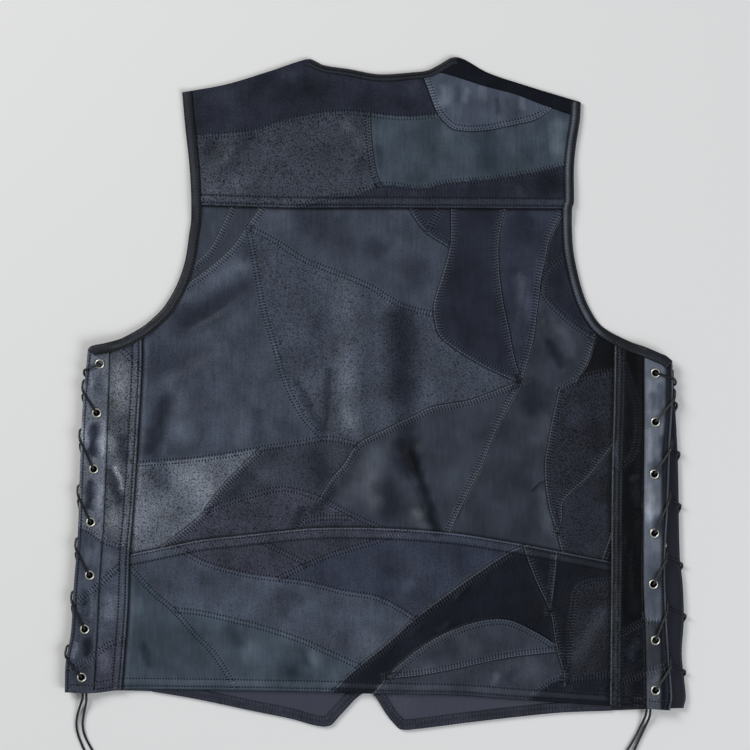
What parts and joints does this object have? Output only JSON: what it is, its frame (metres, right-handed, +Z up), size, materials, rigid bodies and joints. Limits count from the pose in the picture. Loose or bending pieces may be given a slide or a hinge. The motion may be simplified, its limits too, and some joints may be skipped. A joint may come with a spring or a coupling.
{
  "type": "leather vest",
  "caption": "Sleeveless patchwork leather vest laid flat with its back up: yoke, pieced body, hem band and side panels laced together through metal eyelets.",
  "frame": {"origin": "on the surface that the garment lies on, under the middle of its outline", "axes": "+X to the right of the garment as it lies, +Y towards the neck, +Z up from the surface"},
  "size_m": [0.6224, 0.7545, 0.0137],
  "materials": {
    "back_leather": "soft semi-gloss black-blue patchwork leather",
    "side_leather": "soft semi-gloss black leather",
    "front_leather": "matt inner side of black leather",
    "binding_leather": "folded black leather edging, topstitched",
    "eyelet_metal": "nickel-plated, worn",
    "lace_cord": "round waxed cord"
  },
  "bodies": {
    "root": {"back_yoke": "back_leather", "back_body": "back_leather", "back_hem_band": "back_leather", "shoulder_strip_right": "back_leather", "front_left": "front_leather", "front_right": "front_leather", "front_facing_left": "binding_leather", "front_facing_right": "binding_leather", "neck_binding": "binding_leather", "armhole_binding_left": "binding_leather", "armhole_binding_right": "binding_leather", "back_side_left": "side_leather", "back_lace_strip_left": "side_leather", "front_side_left": "front_leather", "eyelet_back_left_1": "eyelet_metal", "eyelet_back_left_2": "eyelet_metal", "eyelet_back_left_3": "eyelet_metal", "eyelet_back_left_4": "eyelet_metal", "eyelet_back_left_5": "eyelet_metal", "eyelet_back_left_6": "eyelet_metal", "eyelet_back_left_7": "eyelet_metal", "eyelet_front_left_1": "eyelet_metal", "eyelet_front_left_2": "eyelet_metal", "eyelet_front_left_3": "eyelet_metal", "eyelet_front_left_4": "eyelet_metal", "eyelet_front_left_5": "eyelet_metal", "eyelet_front_left_6": "eyelet_metal", "eyelet_front_left_7": "eyelet_metal", "lace_left": "lace_cord", "lace_end_left_outer": "lace_cord", "lace_knot_left_outer": "lace_cord", "lace_end_left_inner": "lace_cord", "lace_knot_left_inner": "lace_cord", "back_side_right": "side_leather", "back_lace_strip_right": "side_leather", "front_side_right": "front_leather", "eyelet_back_right_1": "eyelet_metal", "eyelet_back_right_2": "eyelet_metal", "eyelet_back_right_3": "eyelet_metal", "eyelet_back_right_4": "eyelet_metal", "eyelet_back_right_5": "eyelet_metal", "eyelet_back_right_6": "eyelet_metal", "eyelet_back_right_7": "eyelet_metal", "eyelet_front_right_1": "eyelet_metal", "eyelet_front_right_2": "eyelet_metal", "eyelet_front_right_3": "eyelet_metal", "eyelet_front_right_4": "eyelet_metal", "eyelet_front_right_5": "eyelet_metal", "eyelet_front_right_6": "eyelet_metal", "eyelet_front_right_7": "eyelet_metal", "lace_right": "lace_cord", "lace_end_right_outer": "lace_cord", "lace_knot_right_outer": "lace_cord", "lace_end_right_inner": "lace_cord", "lace_knot_right_inner": "lace_cord"}
  },
  "joints": []
}
